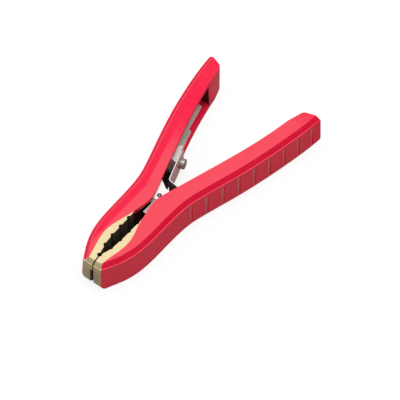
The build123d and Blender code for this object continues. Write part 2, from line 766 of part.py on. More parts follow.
with BuildPart() as pivot_washers:
    for sign in (1, -1):
        with Locations((pivot_x, 0, sign * (fixed_ear_z[1] + lever_ear_z[0]) / 2)):
            Cylinder(washer_outer_radius, washer_thickness)
    with Locations((pivot_x, 0, 0)):
        Cylinder(pin_radius + pin_clearance, 40, mode=Mode.SUBTRACT)
pivot_washers.part.label = "pivot_washers"
export_step(pivot_washers.part, "parts/pivot_washers.step")

# ---------------------------------------------------------------- spring, its seat and the stop button
with BuildPart() as main_spring:
    with BuildSketch(Plane.XY.offset(-spring_half_height)):
        add(spring_face())
    extrude(amount=2 * spring_half_height)
    with BuildSketch(leg_plane(button_x, 0)):
        Circle(button_shank_radius + 0.3)
    extrude(amount=3, both=True, mode=Mode.SUBTRACT)
    for z in spring_rivet_z:
        with BuildSketch(fixed_leg_plane(spring_rivet_x, z)):
            Circle(rivet_radius)
        extrude(amount=6, both=True, mode=Mode.SUBTRACT)
main_spring.part.label = "main_spring"
export_step(main_spring.part, "parts/main_spring.step")

with BuildPart() as spring_rivets:
    for z in spring_rivet_z:
        with BuildSketch(fixed_leg_plane(spring_rivet_x, z)):
            Circle(rivet_radius)
        extrude(amount=rivet_reach)
        with BuildSketch(fixed_leg_plane(spring_rivet_x, z)):
            Circle(spring_rivet_head_radius)
        extrude(amount=-rivet_head_height)
        with BuildSketch(fixed_leg_plane(spring_rivet_x, z).offset(rivet_reach)):
            Circle(rivet_radius + 0.6)
        extrude(amount=0.8)
spring_rivets.part.label = "spring_rivets"
export_step(spring_rivets.part, "parts/spring_rivets.step")

with BuildPart() as lever_tray:
    for z in (-lever_ear_z[1], lever_ear_z[1] - tray_skin):
        with BuildSketch(Plane.XY.offset(z)):
            add(tray_floor())
        extrude(amount=tray_skin)
    with BuildSketch(Plane.XY.offset(-lever_ear_z[1])):
        add(strip_face(1, (lever_web[1] + 0.1, lever_web[1] + 0.1 + tray_skin), tray_start, tray_end))
    extrude(amount=2 * lever_ear_z[1])
lever_tray.part.label = "lever_tray"
export_step(lever_tray.part, "parts/lever_tray.step")

with BuildPart() as spring_seat:
    with BuildSketch(Plane.XY.offset(-seat_half_height)):
        add(seat_face())
    extrude(amount=2 * seat_half_height)
    with BuildSketch(Plane.XY.offset(-seat_half_height + seat_skin)):
        add(seat_hollow())
    extrude(amount=2 * (seat_half_height - seat_skin), mode=Mode.SUBTRACT)
    with BuildSketch(leg_plane(button_x, 0)):
        Circle(button_shank_radius)
    extrude(amount=-3, mode=Mode.SUBTRACT)
spring_seat.part.label = "spring_seat"
export_step(spring_seat.part, "parts/spring_seat.step")

with BuildPart() as stop_button:
    with BuildSketch(leg_plane(button_x, spring_thickness / 2 + 0.05)):
        Circle(button_radius)
    extrude(amount=button_height - button_edge)
    with BuildSketch(leg_plane(button_x, spring_thickness / 2 + 0.05 + button_height - button_edge)):
        Circle(button_radius)
    extrude(amount=button_edge, taper=45)
    with BuildSketch(leg_plane(button_x, spring_thickness / 2 + 0.05)):
        Circle(button_shank_radius)
    extrude(amount=-(spring_thickness + seat_skin + 0.5))
    with BuildSketch(leg_plane(button_x, -spring_thickness / 2 - 0.4 - seat_skin)):
        Circle(button_shank_radius + 0.9)
    extrude(amount=-0.9)
stop_button.part.label = "stop_button"
export_step(stop_button.part, "parts/stop_button.step")

# ---------------------------------------------------------------- current path in the fixed handle
with BuildPart() as conductor_bar:
    with BuildSketch(Plane.XY.offset(-bar_half_height)):
        add(strip_face(-1, bar_depth, bar_start, bar_end))
    extrude(amount=2 * bar_half_height)
    for x in conductor_screws_at + socket_block_screws_at:
        with BuildSketch(bar_plane(x, bar_depth[0] - 1)):
            Circle(conductor_screw_radius)
        extrude(amount=6, mode=Mode.SUBTRACT)
        with BuildSketch(bar_plane(x, bar_depth[0])):
            Circle(conductor_head_radius)
        with BuildSketch(bar_plane(x, bar_depth[0] + conductor_head_height)):
            Circle(conductor_screw_radius)
        loft(mode=Mode.SUBTRACT)
conductor_bar.part.label = "conductor_bar"
export_step(conductor_bar.part, "parts/conductor_bar.step")

with BuildPart() as conductor_screws:
    for x in conductor_screws_at + socket_block_screws_at:
        with BuildSketch(bar_plane(x, bar_depth[0] + 0.1)):
            Circle(conductor_head_radius - 0.15)
        with BuildSketch(bar_plane(x, bar_depth[0] + conductor_head_height)):
            Circle(conductor_screw_radius - 0.05)
        loft()
        with BuildSketch(bar_plane(x, bar_depth[0] + conductor_head_height)):
            Circle(conductor_screw_radius - 0.05)
        extrude(amount=conductor_screw_length)
conductor_screws.part.label = "conductor_screws"
export_step(conductor_screws.part, "parts/conductor_screws.step")

with BuildPart() as cable_socket:
    with BuildSketch(socket_plane(0)):
        Circle(socket_radius)
    extrude(amount=-socket_length)
    with BuildSketch(Plane.XY.offset(-socket_block_half_height)):
        add(strip_face(-1, (bar_depth[1] + 0.05, 12.5), socket_block_front, socket_block_rear))
    extrude(amount=2 * socket_block_half_height)
    with BuildSketch(socket_plane(0)):
        Circle(socket_bore_radius)
    extrude(amount=-socket_bore_depth, mode=Mode.SUBTRACT)
    for x in socket_screws_at:
        with BuildSketch(socket_screw_plane(x)):
            Circle(set_screw_radius)
        extrude(amount=-10, mode=Mode.SUBTRACT)
    for x in socket_block_screws_at:
        with BuildSketch(bar_plane(x, bar_depth[1])):
            Circle(conductor_screw_radius)
        extrude(amount=conductor_screw_grip, mode=Mode.SUBTRACT)
cable_socket.part.label = "cable_socket"
export_step(cable_socket.part, "parts/cable_socket.step")

with BuildPart() as cable_set_screws:
    for x in socket_screws_at:
        with BuildSketch(socket_screw_plane(x)):
            Circle(set_screw_radius - 0.05)
        extrude(amount=-set_screw_length)
        with BuildSketch(socket_screw_plane(x).offset(-set_screw_length)):
            Rectangle(1.0, 4.0)
        extrude(amount=1.2, mode=Mode.SUBTRACT)
cable_set_screws.part.label = "cable_set_screws"
export_step(cable_set_screws.part, "parts/cable_set_screws.step")

with BuildPart() as cable_bush:
    with BuildSketch(socket_plane(bush_start)):
        Circle(bush_radius)
        Circle(bush_bore_radius, mode=Mode.SUBTRACT)
    extrude(amount=bush_length)
cable_bush.part.label = "cable_bush"
export_step(cable_bush.part, "parts/cable_bush.step")

# ---------------------------------------------------------------- screws
with BuildPart() as lever_jaw_screws:
    for sign in (1, -1):
        for x, y in lever_jaw_screws_at:
            with BuildSketch(Plane.XY.offset(sign * lever_ear_z[1])):
                with Locations((x, y)):
                    Circle(jaw_head_radius - 0.1)
            with BuildSketch(Plane.XY.offset(sign * (lever_ear_z[1] - jaw_head_height))):
                with Locations((x, y)):
                    Circle(jaw_screw_radius - 0.05)
            loft()
        with BuildSketch(Plane.XY.offset(sign * (lever_ear_z[1] - jaw_head_height))):
            add(screw_sketch(lever_jaw_screws_at, jaw_screw_radius - 0.05))
        extrude(amount=-sign * (jaw_screw_grip - 0.3))
lever_jaw_screws.part.label = "lever_jaw_screws"
export_step(lever_jaw_screws.part, "parts/lever_jaw_screws.step")

with BuildPart() as fixed_jaw_screws:
    for sign in (1, -1):
        with BuildSketch(Plane.XY.offset(sign * fixed_ear_z[1])):
            add(screw_sketch(fixed_jaw_screws_at, jaw_pan_radius))
        extrude(amount=sign * jaw_pan_height)
        with BuildSketch(Plane.XY.offset(sign * fixed_ear_z[1])):
            add(screw_sketch(fixed_jaw_screws_at, jaw_screw_radius - 0.05))
        extrude(amount=-sign * jaw_screw_grip)
fixed_jaw_screws.part.label = "fixed_jaw_screws"
export_step(fixed_jaw_screws.part, "parts/fixed_jaw_screws.step")

for arm, places in (("lever", lever_cover_screws_at), ("fixed", fixed_cover_screws_at)):
    with BuildPart() as cover_screws:
        with BuildSketch(Plane.XY.offset(cover_recess_depth - half_height)):
            add(screw_sketch(places, cover_head_radius))
        extrude(amount=-cover_head_height)
        with BuildSketch(Plane.XY.offset(cover_recess_depth - half_height)):
            add(screw_sketch(places, cover_screw_radius - 0.05))
        extrude(amount=cover_screw_top - cover_recess_depth + half_height - 0.2)
        for x, y in places:
            with BuildSketch(Plane.XY.offset(cover_recess_depth - half_height - cover_head_height)):
                with Locations((x, y)):
                    RegularPolygon(1.4, 6)
            extrude(amount=1.4, mode=Mode.SUBTRACT)
    cover_screws.part.label = arm + "_cover_screws"
    export_step(cover_screws.part, "parts/" + arm + "_cover_screws.step")
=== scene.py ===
import json
import math

import bmesh
import bpy
from mathutils import Matrix, Vector


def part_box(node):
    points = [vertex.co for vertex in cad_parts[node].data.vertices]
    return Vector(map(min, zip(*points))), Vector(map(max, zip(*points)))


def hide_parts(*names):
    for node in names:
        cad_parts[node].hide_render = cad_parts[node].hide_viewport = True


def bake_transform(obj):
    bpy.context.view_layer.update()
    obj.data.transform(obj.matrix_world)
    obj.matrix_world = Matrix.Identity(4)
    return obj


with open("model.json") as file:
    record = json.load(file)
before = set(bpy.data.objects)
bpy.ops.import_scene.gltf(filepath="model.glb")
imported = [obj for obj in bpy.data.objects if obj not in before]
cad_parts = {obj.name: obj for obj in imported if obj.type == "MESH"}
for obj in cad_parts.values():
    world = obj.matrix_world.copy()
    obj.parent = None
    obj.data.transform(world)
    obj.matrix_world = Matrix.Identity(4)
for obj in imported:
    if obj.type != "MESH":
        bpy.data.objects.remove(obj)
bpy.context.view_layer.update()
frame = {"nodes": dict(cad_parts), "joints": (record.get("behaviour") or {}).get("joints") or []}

MM = 0.001
nodes = frame["nodes"]
pivot = Vector(frame["joints"][0]["pos_m"])
body_low, body_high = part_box("fixed_body")
LEDGE_Z = body_high.z                   # where a handle's body meets its cover
TOP_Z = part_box("fixed_cover")[1].z


# ---------------------------------------------------------------- material helpers
class Shader:
    """A node material being built. Inputs may be numbers, colours or other nodes' sockets."""

    def __init__(self, name):
        self.material = bpy.data.materials.new(name)
        self.material.use_nodes = True
        self.tree = self.material.node_tree
        self.tree.nodes.clear()
        self.output = self.tree.nodes.new("ShaderNodeOutputMaterial")
        place = self.tree.nodes.new("ShaderNodeTexCoord")
        self.coords = place.outputs["Object"]
        self.x, self.y, self.z = self.split(self.coords)
        self.normal_x, self.normal_y, self.normal_z = self.split(place.outputs["Normal"])
        self.geometry = self.tree.nodes.new("ShaderNodeNewGeometry")

    def set(self, socket, value):
        if isinstance(value, bpy.types.NodeSocket):
            self.tree.links.new(value, socket)
        elif value is not None:
            if isinstance(value, (tuple, list)) and len(value) == 3 and len(socket.default_value) == 4:
                value = (*value, 1.0)
            socket.default_value = value

    def new(self, kind, inputs=None, out=0, **settings):
        made = self.tree.nodes.new("ShaderNode" + kind)
        for key, value in settings.items():
            setattr(made, key, value)
        for key, value in (inputs or {}).items():
            self.set(made.inputs[key], value)
        return made.outputs[out]

    def split(self, vector):
        made = self.tree.nodes.new("ShaderNodeSeparateXYZ")
        self.set(made.inputs[0], vector)
        return made.outputs

    def math(self, operation, a, b=None, c=None):
        inputs = {i: v for i, v in enumerate((a, b, c)) if v is not None}
        return self.new("Math", inputs, operation=operation)

    def size(self, value):
        """The value without its sign."""
        return self.math("ABSOLUTE", value)

    def inverse(self, value):
        return self.math("SUBTRACT", 1.0, value)

    def times(self, *factors):
        product = factors[0]
        for factor in factors[1:]:
            product = self.math("MULTIPLY", product, factor)
        return product

    def ramp(self, value, low, high, to_low=0.0, to_high=1.0):
        """value mapped smoothly from low..high to to_low..to_high, and held beyond."""
        inputs = {"Value": value, "From Min": low, "From Max": high, "To Min": to_low, "To Max": to_high}
        return self.new("MapRange", inputs, interpolation_type="SMOOTHSTEP")

    def band(self, value, low, high, soft):
        """1 between low and high, falling to 0 over soft on either side."""
        return self.times(self.ramp(value, low - soft, low), self.ramp(value, high + soft, high))

    def mix(self, factor, a, b, mode="MIX"):
        made = self.tree.nodes.new("ShaderNodeMix")
        made.data_type = "RGBA"
        made.blend_type = mode
        self.set(made.inputs[0], factor)
        self.set(made.inputs[6], a)
        self.set(made.inputs[7], b)
        return made.outputs[2]

    def noise(self, scale, detail=3.0, rough=0.5, stretch=(1, 1, 1)):
        where = self.new("Mapping", {"Vector": self.coords, "Scale": stretch})
        return self.new("TexNoise", {"Vector": where, "Scale": scale, "Detail": detail, "Roughness": rough})

    def convex(self, low=0.52, high=0.6):
        """1 on convex edges, 0 elsewhere."""
        return self.ramp(self.geometry.outputs["Pointiness"], low, high)

    def bump(self, height, distance, strength=1.0, normal=None):
        inputs = {"Height": height, "Distance": distance, "Strength": strength, "Normal": normal}
        return self.new("Bump", inputs)

    def finish(self, **inputs):
        shader = self.tree.nodes.new("ShaderNodeBsdfPrincipled")
        for key, value in inputs.items():
            self.set(shader.inputs[key.replace("_", " ")], value)
        self.tree.links.new(shader.outputs[0], self.output.inputs["Surface"])
        return self.material


def coat(node_names, material):
    """Gives CAD nodes one material in all their slots."""
    for name in node_names:
        for place in nodes[name].material_slots:
            place.material = material


# ---------------------------------------------------------------- red plastic
RED = (0.93, 0.012, 0.062)
# Pale red: painted reflection on the tops, painted light on the lower sides, and scuffed edges.
RED_PALE = (0.93, 0.057, 0.096)
# Painted shade for the chamfers.
RED_CHAMFER_SHADE = (0.70, 0.002, 0.032)
# Painted highlight for the chamfers' upper half.
RED_GLINT = (1.0, 0.085, 0.135)
RED_PALE_GREY = (0.72, 0.27, 0.31)
# Painted shade: near-black brown painted into the arms' pockets.
POCKET_SHADE_COLOUR = (0.016, 0.011, 0.007)
POCKET_SHADE_STRENGTH = 0.93
GLINT_Z = (12.6 * MM, 13.6 * MM)        # the chamfer's upper half

# Grip grooves down the handles' outer sides, painted paler.
GROOVE_FIRST = 86.7 * MM
GROOVE_PITCH = 15.7 * MM
GROOVE_HALF = 1.15 * MM
GROOVE_X = (82 * MM, 214 * MM)
GROOVE_Z = (-12 * MM, 8.5 * MM)

# Painted shade in the pockets of the arms' inner sides: behind the jaws, along the spring, and at the
# lever's rear end.
# A reach is how far a pocket goes from the middle plane between the arms.
POCKET_TOP = 11.2 * MM
POCKET_FLOOR = -14.6 * MM
POCKET_REACH = 22.4 * MM
POCKET_EDGE = 0.2 * MM
JAW_POCKET_X = (46 * MM, 74 * MM)
SPRING_POCKET_X = (74 * MM, 120 * MM)
REAR_POCKET_FADE_X = (172 * MM, 180 * MM)
REAR_POCKET_END_X = 192.6 * MM
REAR_POCKET_REACH = 48.2 * MM

# Pale grey speckle on the inner face of the lever's end block.
END_SPECKLE_X = (190 * MM, 206 * MM)
END_SPECKLE_SHARE = 0.6

# The lever's painted reflection, a pale stripe: straight at first, then climbing through one point.
STRIPE_STRAIGHT_Y = 15.9 * MM
STRIPE_X, STRIPE_Y = 85 * MM, 17.9 * MM
STRIPE_CLIMB = 0.272


def facing_out(s):
    """Positive on faces that look away from the middle between the arms."""
    return s.times(s.math("SIGN", s.y), s.normal_y)


def grip_bars(s):
    """1 in the grip grooves down the outer sides."""
    place = s.math("DIVIDE", s.math("SUBTRACT", s.x, GROOVE_FIRST - GROOVE_PITCH / 2), GROOVE_PITCH)
    offset = s.math("SUBTRACT", s.math("FRACT", place), 0.5)
    across = s.times(s.size(offset), GROOVE_PITCH)
    groove = s.ramp(across, GROOVE_HALF * 1.45, GROOVE_HALF * 1.15)
    outer_side = s.ramp(facing_out(s), 0.1, 0.4)
    return s.times(groove, s.band(s.x, *GROOVE_X, MM), s.band(s.z, *GROOVE_Z, MM), outer_side)


def painted_pocket_shade(s, lever_half):
    """1 where shade is painted inside the arms' pockets behind the jaws, along the spring, and at the
    lever's rear end.
    """
    inner_faces = s.ramp(facing_out(s), 0.5, 0.1)
    near_middle = s.ramp(s.size(s.y), POCKET_REACH + 0.8 * MM, POCKET_REACH)
    heights = s.band(s.z, POCKET_FLOOR, POCKET_TOP, POCKET_EDGE)
    deep = s.times(heights, s.ramp(s.normal_z, -0.9, -0.5), inner_faces, near_middle)
    jaw_end = s.band(s.x, *JAW_POCKET_X, 3 * MM)
    spring_side = s.times(lever_half, s.band(s.x, *SPRING_POCKET_X, 4 * MM))
    front = s.times(deep, s.math("MAXIMUM", jaw_end, spring_side))
    rear_heights = s.band(s.z, -POCKET_TOP, POCKET_TOP, POCKET_EDGE)
    rear_reach = s.ramp(s.y, REAR_POCKET_REACH + 0.6 * MM, REAR_POCKET_REACH)
    rear_end = s.ramp(s.x, REAR_POCKET_END_X + 0.1 * MM, REAR_POCKET_END_X)
    rear = s.times(lever_half, rear_heights, rear_reach, s.ramp(s.x, *REAR_POCKET_FADE_X), rear_end)
    return s.math("MAXIMUM", front, rear)


def red_wear_and_painted_light(s, colour, side):
    """Painted light on the lower sides, paler grip grooves, scuffed edges, pale grey speckle on the lever's
    end block, and painted shade in the pockets.
    """
    # Painted light: the sides paler lower down and towards the front.
    fade = s.times(s.ramp(s.z, 11 * MM, -2 * MM), s.ramp(s.x, 190 * MM, 60 * MM, 0.3, 1.0))
    colour = s.mix(s.times(side, fade, 0.45), colour, RED_PALE)
    bars = s.times(grip_bars(s), s.ramp(s.noise(400), 0.3, 0.7, 0.45, 0.9))
    colour = s.mix(bars, colour, RED_PALE_GREY)
    scuff = s.times(s.convex(), s.ramp(s.noise(350), 0.4, 0.7), 0.3)
    colour = s.mix(scuff, colour, RED_PALE)
    lever_half = s.ramp(s.y, 0.0, MM)
    inner_side = s.times(side, lever_half, s.ramp(facing_out(s), -0.1, -0.4))
    end_speckle = s.times(inner_side, s.ramp(s.x, *END_SPECKLE_X), s.ramp(s.noise(900, 4, 0.7), 0.40, 0.62))
    colour = s.mix(s.times(end_speckle, END_SPECKLE_SHARE), colour, RED_PALE_GREY)
    # Painted shade inside the arms' pockets.
    return s.mix(s.times(painted_pocket_shade(s, lever_half), POCKET_SHADE_STRENGTH), colour, POCKET_SHADE_COLOUR)


def red_plastic(name, top_reflection, chamfer_shade, glint):
    """Satin moulded red, with painted shade on the chamfers, and scuffs, painted light and painted shade
    added on the sides.

    top_reflection(s) says where the top is painted paler as a reflection; chamfer_shade is how deep the
    chamfer's painted shade is, and glint how pale the painted highlight on the upper half of the chamfer is.
    """
    s = Shader(name)
    chamfer = s.times(s.band(s.normal_z, 0.5, 0.85, 0.08), s.ramp(s.z, LEDGE_Z, LEDGE_Z + 0.2 * MM))
    mottle = s.ramp(s.noise(70, 4), 0.3, 0.7, -0.08, 0.08)
    # Painted reflection paling the top, with random mottle.
    pale = s.times(s.math("ADD", top_reflection(s), mottle), s.inverse(chamfer))
    colour = s.mix(pale, RED, RED_PALE)
    # Painted shade on the chamfers.
    colour = s.mix(s.times(chamfer, chamfer_shade), colour, RED_CHAMFER_SHADE)
    # Painted highlight on the chamfer's upper half.
    colour = s.mix(s.times(chamfer, s.ramp(s.z, *GLINT_Z), glint), colour, RED_GLINT)
    side = s.ramp(s.size(s.normal_z), 0.45, 0.2)
    colour = red_wear_and_painted_light(s, colour, side)
    bump = s.bump(s.noise(90, 2), 0.0003, 0.2, s.bump(s.noise(1600, 2, 0.6), 0.0001, 0.3))
    rough = s.ramp(s.noise(180), 0.3, 0.7, 0.40, 0.52)
    gloss = s.math("ADD", 0.10, s.times(pale, 0.20, s.inverse(side)))
    return s.finish(Base_Color=colour, Roughness=rough, Normal=bump, Specular_IOR_Level=gloss)


def lever_painted_reflection(s):
    """Painted reflection: paler inside a stripe that runs along the lever, and all saturated towards its
    end.
    """
    climb = s.math("MULTIPLY_ADD", s.x, STRIPE_CLIMB, STRIPE_Y - STRIPE_CLIMB * STRIPE_X)
    off_stripe = s.math("SUBTRACT", s.y, s.math("MAXIMUM", climb, STRIPE_STRAIGHT_Y))
    inner = s.ramp(off_stripe, -1.2 * MM, -3.8 * MM)
    outer = s.ramp(off_stripe, 2.2 * MM, 5 * MM, 0, 0.5)
    front = s.ramp(s.x, 156 * MM, 106 * MM, 0.05, 1.0)
    return s.times(s.math("ADD", inner, outer), front)


def fixed_painted_reflection(s):
    """Painted reflection: pale all along, more saturated at the very end."""
    return s.ramp(s.x, 222 * MM, 196 * MM, 0.35, 1.0)


# ---------------------------------------------------------------- metals and rubber
BRASS = (0.62, 0.475, 0.265)
BRASS_CLOUD = (0.54, 0.41, 0.23)
# Painted shade for the nose's front faces.
BRASS_NOSE_SHADE = (0.37, 0.285, 0.175)
BRASS_RUBBED = (0.9, 0.76, 0.45)
# Painted shade inside the jaws' mouth.
MOUTH_SHADE_DARK = (0.030, 0.019, 0.011)
MOUTH_SHADE_BROWN = (0.17, 0.12, 0.075)
MOUTH_FRONT_X = -8.5 * MM
MOUTH_HALF_WIDTH = 7 * MM
NOSE_X = -6.6 * MM

# Near-black painted shade for the steel parts' undersides and recesses.
STEEL_SHADE_DARK = (0.016, 0.013, 0.010)
EAR_UNDERSIDE_Z = 8.8 * MM
PIN_RECESS_RADIUS = 2.3 * MM
PIN_RECESS_Z = 11.2 * MM
PIN_GROOVE_Z = TOP_Z - 3.9 * MM

RUBBER = (0.012, 0.012, 0.013)
RUBBER_DUSTY = (0.035, 0.035, 0.036)

# Painted light on the spring: shaded outside, lit inside, highlighted edges.
SPRING_OUTSIDE_SHADE = ((0.16, 0.12, 0.08), (0.34, 0.27, 0.19))
SPRING_INSIDE_LIT = ((0.66, 0.58, 0.56), (0.80, 0.71, 0.69))
SPRING_EDGE_HIGHLIGHT = (0.95, 0.92, 0.90)


def jaw_brass():
    """Cast brass, pale on top, with painted shade: duller on the nose's front, brown-black inside the jaws'
    mouth.
    """
    s = Shader("jaw_brass")
    up = s.size(s.normal_z)
    cloud = s.ramp(s.noise(140, 4), 0.35, 0.7)
    colour = s.mix(s.times(cloud, 0.5), BRASS, BRASS_CLOUD)
    # Painted shade on the nose's front faces.
    nose = s.times(s.ramp(up, 0.9, 0.75), s.ramp(s.x, NOSE_X + 0.6 * MM, NOSE_X))
    colour = s.mix(s.times(nose, 0.75), colour, BRASS_NOSE_SHADE)
    colour = s.mix(s.times(s.convex(), 0.5), colour, BRASS_RUBBED)
    near_mouth = s.ramp(s.size(s.y), MOUTH_HALF_WIDTH + 1.5 * MM, MOUTH_HALF_WIDTH)
    behind_tip = s.ramp(s.x, MOUTH_FRONT_X - MM, MOUTH_FRONT_X)
    # Painted shade inside the jaws' mouth.
    mouth_shade = s.times(s.ramp(up, 0.5, 0.2), behind_tip, near_mouth)
    mouth_shade_colour = s.mix(s.ramp(s.noise(500, 5, 0.7), 0.30, 0.75), MOUTH_SHADE_DARK, MOUTH_SHADE_BROWN)
    colour = s.mix(mouth_shade, colour, mouth_shade_colour)
    metal = s.math("SUBTRACT", 0.6, s.times(mouth_shade, 0.55))
    rough = s.math("ADD", 0.45, s.times(mouth_shade, 0.35))
    bump = s.bump(s.noise(900), 0.0001, 0.4)
    return s.finish(Base_Color=colour, Metallic=metal, Roughness=rough, Normal=bump)


def sheet_steel(name, bright, dark, metallic=0.6, rough=(0.3, 0.45), shade=None):
    """Sheet metal with fine drawing lines, dull patches and bright edges; shade(s) says where it's dark."""
    s = Shader(name)
    lines = s.noise(500, 3, 0.6, (1, 12, 12))
    patches = s.ramp(s.noise(90, 4), 0.3, 0.75)
    colour = s.mix(patches, bright, dark)
    colour = s.mix(s.times(s.ramp(lines, 0.3, 0.7), 0.25), colour, dark)
    colour = s.mix(s.convex(), colour, bright)
    if shade:
        colour = s.mix(shade(s), colour, STEEL_SHADE_DARK)
    roughness = s.ramp(patches, 0.0, 1.0, *rough)
    bump = s.bump(lines, 0.00005, 0.3)
    return s.finish(Base_Color=colour, Metallic=metallic, Roughness=roughness, Normal=bump)


def shade_below_the_ears(s):
    """Painted shade below the ears' flat faces, and in the recess round the pivot pin."""
    below = s.ramp(s.z, EAR_UNDERSIDE_Z + 0.3 * MM, EAR_UNDERSIDE_Z)
    along = s.math("POWER", s.math("SUBTRACT", s.x, pivot.x), 2.0)
    off_pin = s.math("SQRT", s.math("ADD", along, s.math("POWER", s.y, 2.0)))
    within = s.ramp(off_pin, PIN_RECESS_RADIUS + 0.1 * MM, PIN_RECESS_RADIUS)
    recess = s.times(within, s.ramp(s.z, PIN_RECESS_Z + 0.15 * MM, PIN_RECESS_Z))
    return s.math("MAXIMUM", below, recess)


def pin_groove_shade(s):
    """Painted shade on the pivot pin below the staked groove round its nib."""
    return s.ramp(s.z, PIN_GROOVE_Z + 0.2 * MM, PIN_GROOVE_Z)


def rubber():
    """Matt black rubber with a fine grain."""
    s = Shader("bush_rubber")
    grain = s.noise(1200, 3, 0.7)
    colour = s.mix(s.ramp(grain, 0.35, 0.65), RUBBER, RUBBER_DUSTY)
    return s.finish(Base_Color=colour, Roughness=0.75, Normal=s.bump(grain, 0.0001, 0.5))


def spring_steel():
    """Tempered strip with painted light: painted shade outside, lit bright inside the bend, painted
    highlights along its edges.
    """
    s = Shader("spring_steel")
    lines = s.noise(700, 3, 0.6, (1, 1, 8))
    drawn = s.ramp(lines, 0.3, 0.7)
    # Painted light: the outside shaded, the inside lit, and painted highlights along the edges.
    inner = s.ramp(s.normal_x, -0.2, 0.15)
    edge = s.ramp(s.size(s.normal_z), 0.6, 0.9)
    colour = s.mix(inner, s.mix(drawn, *SPRING_OUTSIDE_SHADE), s.mix(drawn, *SPRING_INSIDE_LIT))
    colour = s.mix(edge, colour, SPRING_EDGE_HIGHLIGHT)
    return s.finish(Base_Color=colour, Metallic=0.3, Roughness=0.4, Normal=s.bump(lines, 0.00004, 0.4))


def grey(level):
    """A colour with its three channels the same."""
    return (level, level, level)


red_lever = red_plastic("red_lever", lever_painted_reflection, 0.35, 0.9)
red_fixed = red_plastic("red_fixed", fixed_painted_reflection, 0.62, 0.0)
ear_steel = sheet_steel("ear_steel", grey(0.97), grey(0.90), 0.35, shade=shade_below_the_ears)
flange_steel = sheet_steel("flange_steel", (0.62, 0.58, 0.56), (0.42, 0.39, 0.37), 0.4, shade=shade_below_the_ears)
tray_metal = sheet_steel("tray_steel", (0.86, 0.82, 0.78), (0.58, 0.545, 0.51), 0.2, (0.4, 0.55))
seat_metal = sheet_steel("seat_steel", (0.66, 0.60, 0.59), (0.40, 0.36, 0.35), 0.3, (0.35, 0.5))
button_metal = sheet_steel("button_steel", (0.42, 0.385, 0.355), (0.12, 0.10, 0.085), 0.5, (0.3, 0.5))
screw_metal = sheet_steel("screw_steel", grey(0.6), grey(0.4), 0.8)
pin_metal = sheet_steel("pin_steel", grey(0.5), grey(0.35), shade=pin_groove_shade)
copper = sheet_steel("copper", (0.78, 0.42, 0.28), (0.5, 0.24, 0.15), 0.9)
socket_brass = sheet_steel("socket_brass", (0.8, 0.64, 0.36), (0.6, 0.46, 0.24), 0.9)

coat(("lever_body", "lever_cover"), red_lever)
coat(("fixed_body", "fixed_cover"), red_fixed)
coat(("lever_jaw", "fixed_jaw"), jaw_brass())
coat(("lever_frame",), ear_steel)
coat(("fixed_frame",), flange_steel)
coat(("lever_tray",), tray_metal)
coat(("spring_seat",), seat_metal)
coat(("stop_button",), button_metal)
coat(("pivot_pin",), pin_metal)
coat(("pivot_bush", "pivot_washers", "spring_rivets"), screw_metal)
coat([name for name in nodes if name.endswith("screws")], screw_metal)
coat(("conductor_bar",), copper)
coat(("cable_socket",), socket_brass)
coat(("cable_bush",), rubber())


# ---------------------------------------------------------------- spring
# The strip's middle line: end on the lever, corner by the pivot, foot of the bend, end on the fixed arm.
SPRING_CORNERS_MM = ((127.5, 14.56), (96.6, 4.3), (93.7, -17.9), (117, -25.05))
SPRING_LINE = [Vector((x * MM, y * MM, 0)) for x, y in SPRING_CORNERS_MM]
SPRING_BEND = 3.0 * MM
SPRING_THICKNESS = 0.9 * MM
SPRING_EDGE = 0.18 * MM
SPRING_TAPER = 9 * MM
SPRING_END_HEIGHT = 0.86
SPRING_ARC_STEPS = 10
SPRING_SPACING = 1.5 * MM
SPRING_SHARP = math.radians(35)


def rounded_corner(before, corner, after):
    """Points of the arc that rounds one corner of the spring's line."""
    a = (before - corner).normalized()
    b = (after - corner).normalized()
    half = a.angle(b) / 2
    centre = corner + (a + b).normalized() * (SPRING_BEND / math.sin(half))
    first = corner + a * (SPRING_BEND / math.tan(half)) - centre
    last = corner + b * (SPRING_BEND / math.tan(half)) - centre
    turn = math.atan2(first.cross(last).z, first.dot(last)) / SPRING_ARC_STEPS
    return [centre + Matrix.Rotation(turn * i, 3, "Z") @ first for i in range(SPRING_ARC_STEPS + 1)]


def bent_path(corners):
    """Points along straight runs joined by arcs, finely spaced."""
    points = [corners[0]]
    for three in zip(corners, corners[1:], corners[2:]):
        points += rounded_corner(*three)
    points.append(corners[-1])
    fine = [points[0]]
    for start, point in zip(points, points[1:]):
        run = max(1, round((point - start).length / SPRING_SPACING))
        fine += [start.lerp(point, i / run) for i in range(1, run + 1)]
    return fine


def strip_section(half_thickness, half_height):
    """Corners of a strip's cross-section with its four edges broken: across, up."""
    t, h, e = half_thickness, half_height, SPRING_EDGE
    top = [(t, h - e), (t - e, h), (e - t, h), (-t, h - e)]
    return top + [(-across, -up) for across, up in top]


def strip_rings(shape, path, half_height):
    """Rings of corners along the path; the strip narrows a little towards its first end."""
    rings = []
    travelled = 0.0
    for i, point in enumerate(path):
        before, after = path[max(i - 1, 0)], path[min(i + 1, len(path) - 1)]
        travelled += (point - before).length
        side = (after - before).normalized().cross(Vector((0, 0, 1)))
        widened = math.sin(min(1.0, travelled / SPRING_TAPER) * math.pi / 2)
        height = half_height * (SPRING_END_HEIGHT + (1 - SPRING_END_HEIGHT) * widened)
        section = strip_section(SPRING_THICKNESS / 2, height)
        rings.append([shape.verts.new(point + side * a + Vector((0, 0, b))) for a, b in section])
    return rings


